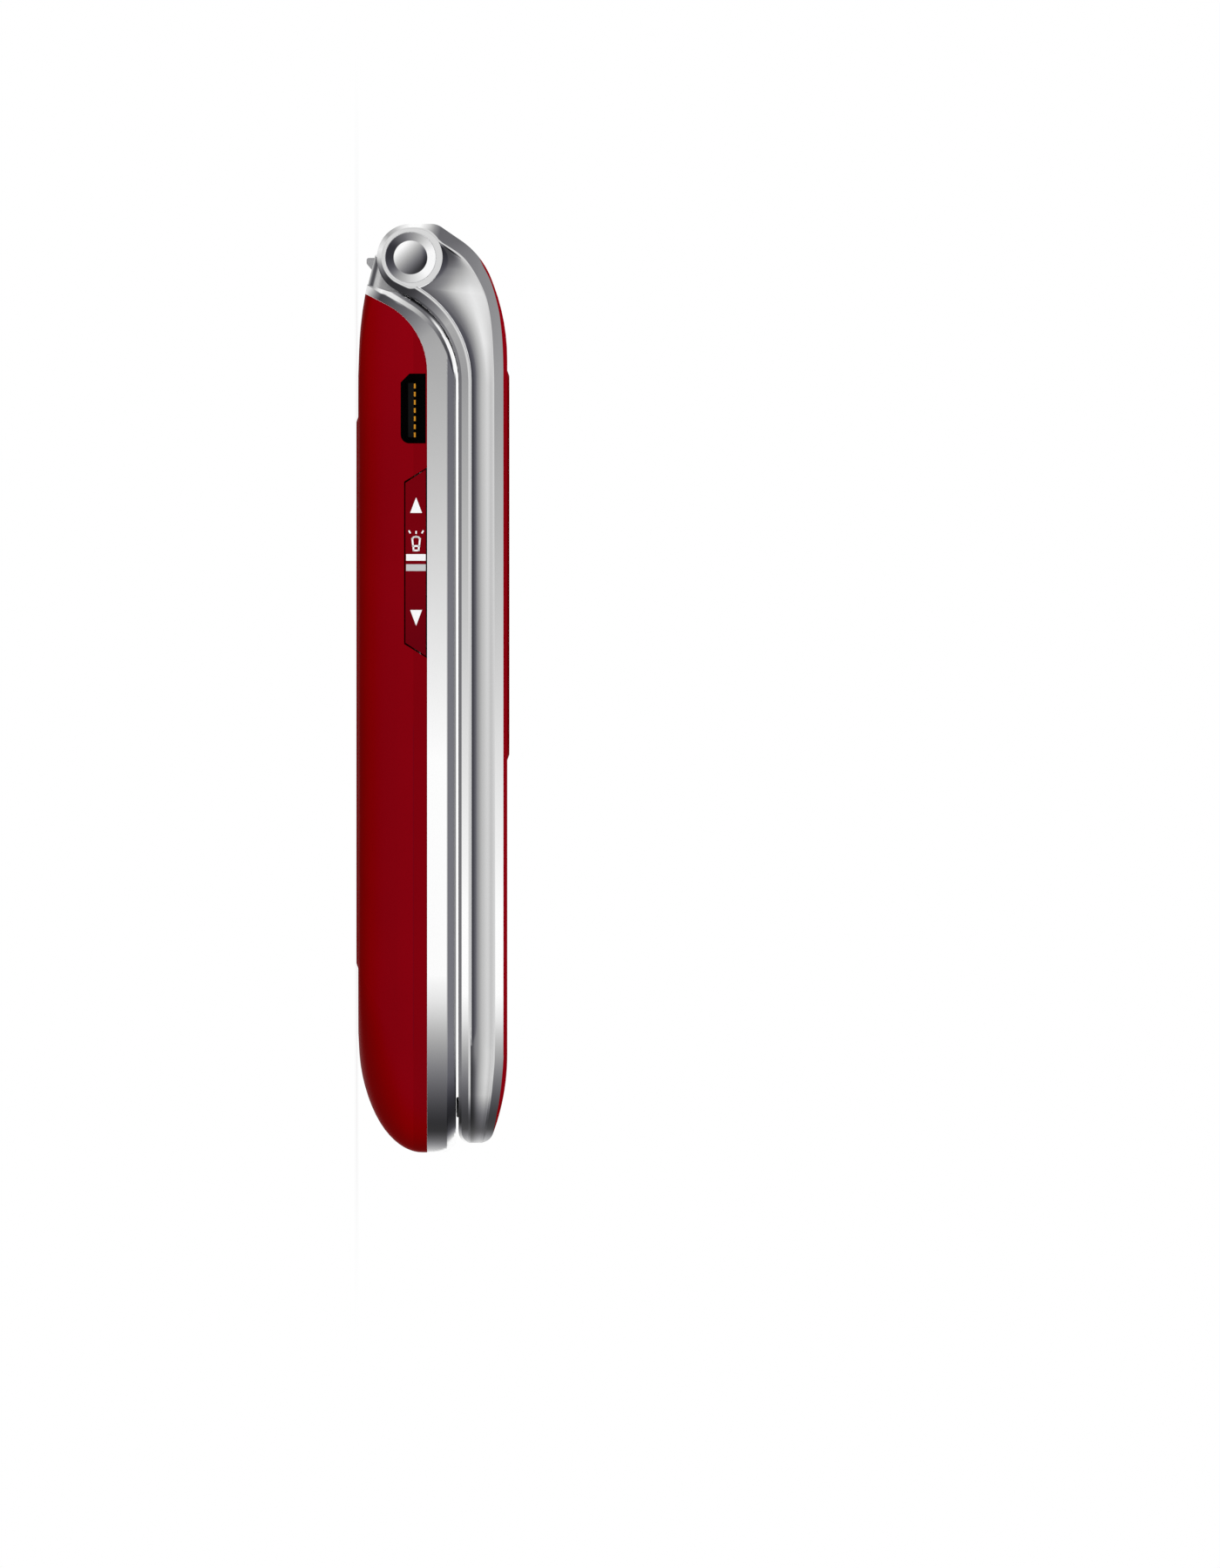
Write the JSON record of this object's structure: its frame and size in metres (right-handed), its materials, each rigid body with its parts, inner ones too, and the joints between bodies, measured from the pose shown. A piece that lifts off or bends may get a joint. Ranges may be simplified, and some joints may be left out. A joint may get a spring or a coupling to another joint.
{
  "type": "flip phone",
  "caption": "Clamshell mobile phone, closed: red dished back and lid cover, bright S-shaped side frames, hinge at one end, keypad and display inside.",
  "frame": {"origin": "centre of the closed phone's footprint, on the surface that it lies on", "axes": "+Z out of the lid's outer face, +Y towards the hinge, +X to the user's right"},
  "size_m": [0.054, 0.105, 0.0173],
  "materials": {
    "red_paint": "metallic red lacquer on moulded plastic",
    "bright_trim": "satin bright plating",
    "black_gloss": "piano black",
    "key_black": "soft matt black, white legends",
    "black_plastic": "moulded black",
    "grey_rubber": "soft silicone rubber",
    "black_rubber": "plain",
    "clear_film": "thin film over metal domes",
    "clear_plastic": "clear moulded lens",
    "flex_film": "amber polyimide film",
    "board": "green solder mask",
    "battery_label": "dark wrapped cell",
    "display": "dark display face",
    "screen_glass": "dark tinted window",
    "gold": "gold plated contacts",
    "steel": "plain steel"
  },
  "bodies": {
    "base": {"rear_housing": "red_paint", "battery": "battery_label", "battery_contacts": "gold", "base_frame": "bright_trim", "keypad_deck": "black_gloss", "keypad_mat": "grey_rubber", "dome_sheet": "clear_film", "main_pcb": "board", "side_switch": "black_plastic", "io_port": "black_plastic", "io_contacts": "gold", "headphone_jack": "black_plastic", "jack_contacts": "gold", "loudspeaker": "black_plastic", "vibration_motor": "steel", "antenna": "black_plastic", "microphone": "steel", "sim_holder": "steel", "memory_card_holder": "steel", "housing_screws": "steel", "torch_lens": "clear_plastic", "torch_led": "clear_plastic", "hinge_cartridge": "steel", "hinge_spring": "steel"},
    "battery_cover": {"battery_cover": "red_paint"},
    "volume_rocker": {"volume_rocker": "red_paint"},
    "lid": {"hinge_shaft": "steel", "hinge_bush": "steel", "hinge_caps": "bright_trim", "flex_cable": "flex_film", "lid_frame": "bright_trim", "lid_cover": "red_paint", "lid_inner_panel": "black_gloss", "main_lens": "screen_glass", "main_display": "display", "earpiece": "black_plastic", "lid_pcb": "board", "outer_lens": "screen_glass", "outer_display": "display", "camera_module": "black_plastic", "camera_ring": "bright_trim", "lid_bumpers": "black_rubber"},
    "nav_ring": {"nav_ring": "bright_trim"},
    "ok_key": {"ok_key": "key_black"},
    "soft_left": {"soft_left": "key_black"},
    "soft_right": {"soft_right": "key_black"},
    "call_key": {"call_key": "key_black"},
    "end_key": {"end_key": "key_black"},
    "key_1": {"key_1": "key_black"},
    "key_2": {"key_2": "key_black"},
    "key_3": {"key_3": "key_black"},
    "key_4": {"key_4": "key_black"},
    "key_5": {"key_5": "key_black"},
    "key_6": {"key_6": "key_black"},
    "key_7": {"key_7": "key_black"},
    "key_8": {"key_8": "key_black"},
    "key_9": {"key_9": "key_black"},
    "key_star": {"key_star": "key_black"},
    "key_0": {"key_0": "key_black"},
    "key_hash": {"key_hash": "key_black"}
  },
  "joints": [
    {"name": "lid_hinge", "type": "hinge", "parent": "base", "child": "lid", "pos_m": [0, 0.0487, 0.00613], "axis": [-1, 0, 0], "range_deg": [0, 160]},
    {"name": "battery_cover_lift", "type": "slide", "parent": "base", "child": "battery_cover", "axis": [0, 0, -1], "range_m": [0, 0.03]},
    {"name": "volume_rocker_tilt", "type": "hinge", "parent": "base", "child": "volume_rocker", "pos_m": [-0.0255, 0.01422, 0.0067], "axis": [0, 0, 1], "range_deg": [-2.2, 2.2], "stiffness_Nm_per_rad": 0.01},
    {"name": "key_1_press", "type": "slide", "parent": "base", "child": "key_1", "axis": [0, 0, -1], "range_m": [0, 0.0003], "stiffness_N_per_m": 300, "springref_m": -0.0003},
    {"name": "key_2_press", "type": "slide", "parent": "base", "child": "key_2", "axis": [0, 0, -1], "range_m": [0, 0.0003], "stiffness_N_per_m": 300, "springref_m": -0.0003},
    {"name": "key_3_press", "type": "slide", "parent": "base", "child": "key_3", "axis": [0, 0, -1], "range_m": [0, 0.0003], "stiffness_N_per_m": 300, "springref_m": -0.0003},
    {"name": "key_4_press", "type": "slide", "parent": "base", "child": "key_4", "axis": [0, 0, -1], "range_m": [0, 0.0003], "stiffness_N_per_m": 300, "springref_m": -0.0003},
    {"name": "key_5_press", "type": "slide", "parent": "base", "child": "key_5", "axis": [0, 0, -1], "range_m": [0, 0.0003], "stiffness_N_per_m": 300, "springref_m": -0.0003},
    {"name": "key_6_press", "type": "slide", "parent": "base", "child": "key_6", "axis": [0, 0, -1], "range_m": [0, 0.0003], "stiffness_N_per_m": 300, "springref_m": -0.0003},
    {"name": "key_7_press", "type": "slide", "parent": "base", "child": "key_7", "axis": [0, 0, -1], "range_m": [0, 0.0003], "stiffness_N_per_m": 300, "springref_m": -0.0003},
    {"name": "key_8_press", "type": "slide", "parent": "base", "child": "key_8", "axis": [0, 0, -1], "range_m": [0, 0.0003], "stiffness_N_per_m": 300, "springref_m": -0.0003},
    {"name": "key_9_press", "type": "slide", "parent": "base", "child": "key_9", "axis": [0, 0, -1], "range_m": [0, 0.0003], "stiffness_N_per_m": 300, "springref_m": -0.0003},
    {"name": "key_star_press", "type": "slide", "parent": "base", "child": "key_star", "axis": [0, 0, -1], "range_m": [0, 0.0003], "stiffness_N_per_m": 300, "springref_m": -0.0003},
    {"name": "key_0_press", "type": "slide", "parent": "base", "child": "key_0", "axis": [0, 0, -1], "range_m": [0, 0.0003], "stiffness_N_per_m": 300, "springref_m": -0.0003},
    {"name": "key_hash_press", "type": "slide", "parent": "base", "child": "key_hash", "axis": [0, 0, -1], "range_m": [0, 0.0003], "stiffness_N_per_m": 300, "springref_m": -0.0003},
    {"name": "nav_ring_press", "type": "slide", "parent": "base", "child": "nav_ring", "axis": [0, 0, -1], "range_m": [0, 0.0003], "stiffness_N_per_m": 300, "springref_m": -0.0003},
    {"name": "ok_key_press", "type": "slide", "parent": "base", "child": "ok_key", "axis": [0, 0, -1], "range_m": [0, 0.0003], "stiffness_N_per_m": 300, "springref_m": -0.0003},
    {"name": "soft_left_press", "type": "slide", "parent": "base", "child": "soft_left", "axis": [0, 0, -1], "range_m": [0, 0.0003], "stiffness_N_per_m": 300, "springref_m": -0.0003},
    {"name": "soft_right_press", "type": "slide", "parent": "base", "child": "soft_right", "axis": [0, 0, -1], "range_m": [0, 0.0003], "stiffness_N_per_m": 300, "springref_m": -0.0003},
    {"name": "call_key_press", "type": "slide", "parent": "base", "child": "call_key", "axis": [0, 0, -1], "range_m": [0, 0.0003], "stiffness_N_per_m": 300, "springref_m": -0.0003},
    {"name": "end_key_press", "type": "slide", "parent": "base", "child": "end_key", "axis": [0, 0, -1], "range_m": [0, 0.0003], "stiffness_N_per_m": 300, "springref_m": -0.0003}
  ]
}
